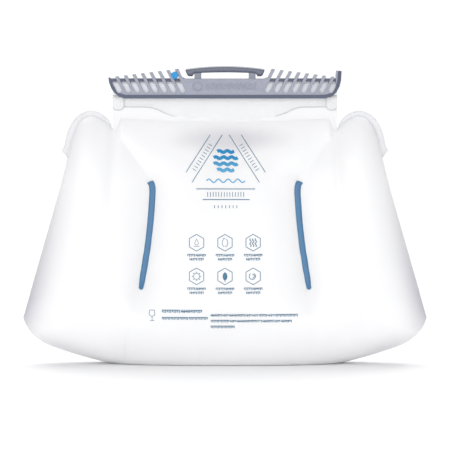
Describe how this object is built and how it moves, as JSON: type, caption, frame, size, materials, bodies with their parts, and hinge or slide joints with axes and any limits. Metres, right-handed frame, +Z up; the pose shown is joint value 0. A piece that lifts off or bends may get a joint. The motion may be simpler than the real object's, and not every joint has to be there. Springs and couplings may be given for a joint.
{
  "type": "hydration bladder",
  "caption": "Soft translucent water bladder for a waist pack, with slanted baffles, a slide-on clamp with a grip, and a quick-connect outlet.",
  "frame": {"origin": "centre of the base, on the floor the bladder stands on", "axes": "+Z up, the front faces -Y, +X to the right as seen from the front"},
  "size_m": [0.2964, 0.0685, 0.2178],
  "materials": {
    "film": "frosted translucent film",
    "clear_film": "clear glossy film",
    "weld_blue": "satin coloured weld",
    "tag_blue": "satin bright blue",
    "clamp_plastic": "satin silver-grey with a fine fleck",
    "grip_plastic": "glossy dark grey",
    "rail_plastic": "satin",
    "port_plastic": "satin grey",
    "seal_rubber": "soft black",
    "spring_steel": "drawn wire"
  },
  "bodies": {
    "bladder": {"front_panel": "film", "back_panel": "film", "left_baffle": "film", "right_baffle": "film", "front_mouth_strip": "clear_film", "back_mouth_strip": "clear_film", "front_rail": "rail_plastic", "back_rail": "rail_plastic", "front_left_weld_strip": "weld_blue", "front_right_weld_strip": "weld_blue", "back_left_weld_strip": "weld_blue", "back_right_weld_strip": "weld_blue", "port_flange": "port_plastic", "port_base": "port_plastic", "port_cap": "clamp_plastic", "socket_seal": "seal_rubber", "valve_retainer": "port_plastic", "poppet_spring": "spring_steel", "button_spring": "spring_steel"},
    "clamp": {"slider_channel": "clamp_plastic", "grip_handle": "grip_plastic", "tether_plug": "tag_blue"},
    "poppet": {"valve_poppet": "clamp_plastic", "poppet_seal": "seal_rubber"},
    "button": {"release_button": "tag_blue"}
  },
  "joints": [
    {"name": "clamp_slide", "type": "slide", "parent": "bladder", "child": "clamp", "axis": [1, 0, 0], "range_m": [0, 0.172]},
    {"name": "button_press", "type": "slide", "parent": "bladder", "child": "button", "axis": [0, 0, -1], "range_m": [0, 0.0025], "stiffness_N_per_m": 350, "springref_m": -0.002, "deforming": ["button_spring"]},
    {"name": "poppet_travel", "type": "slide", "parent": "bladder", "child": "poppet", "axis": [0, -1, 0], "range_m": [0, 0.003], "stiffness_N_per_m": 200, "springref_m": -0.002, "deforming": ["poppet_spring"]}
  ]
}
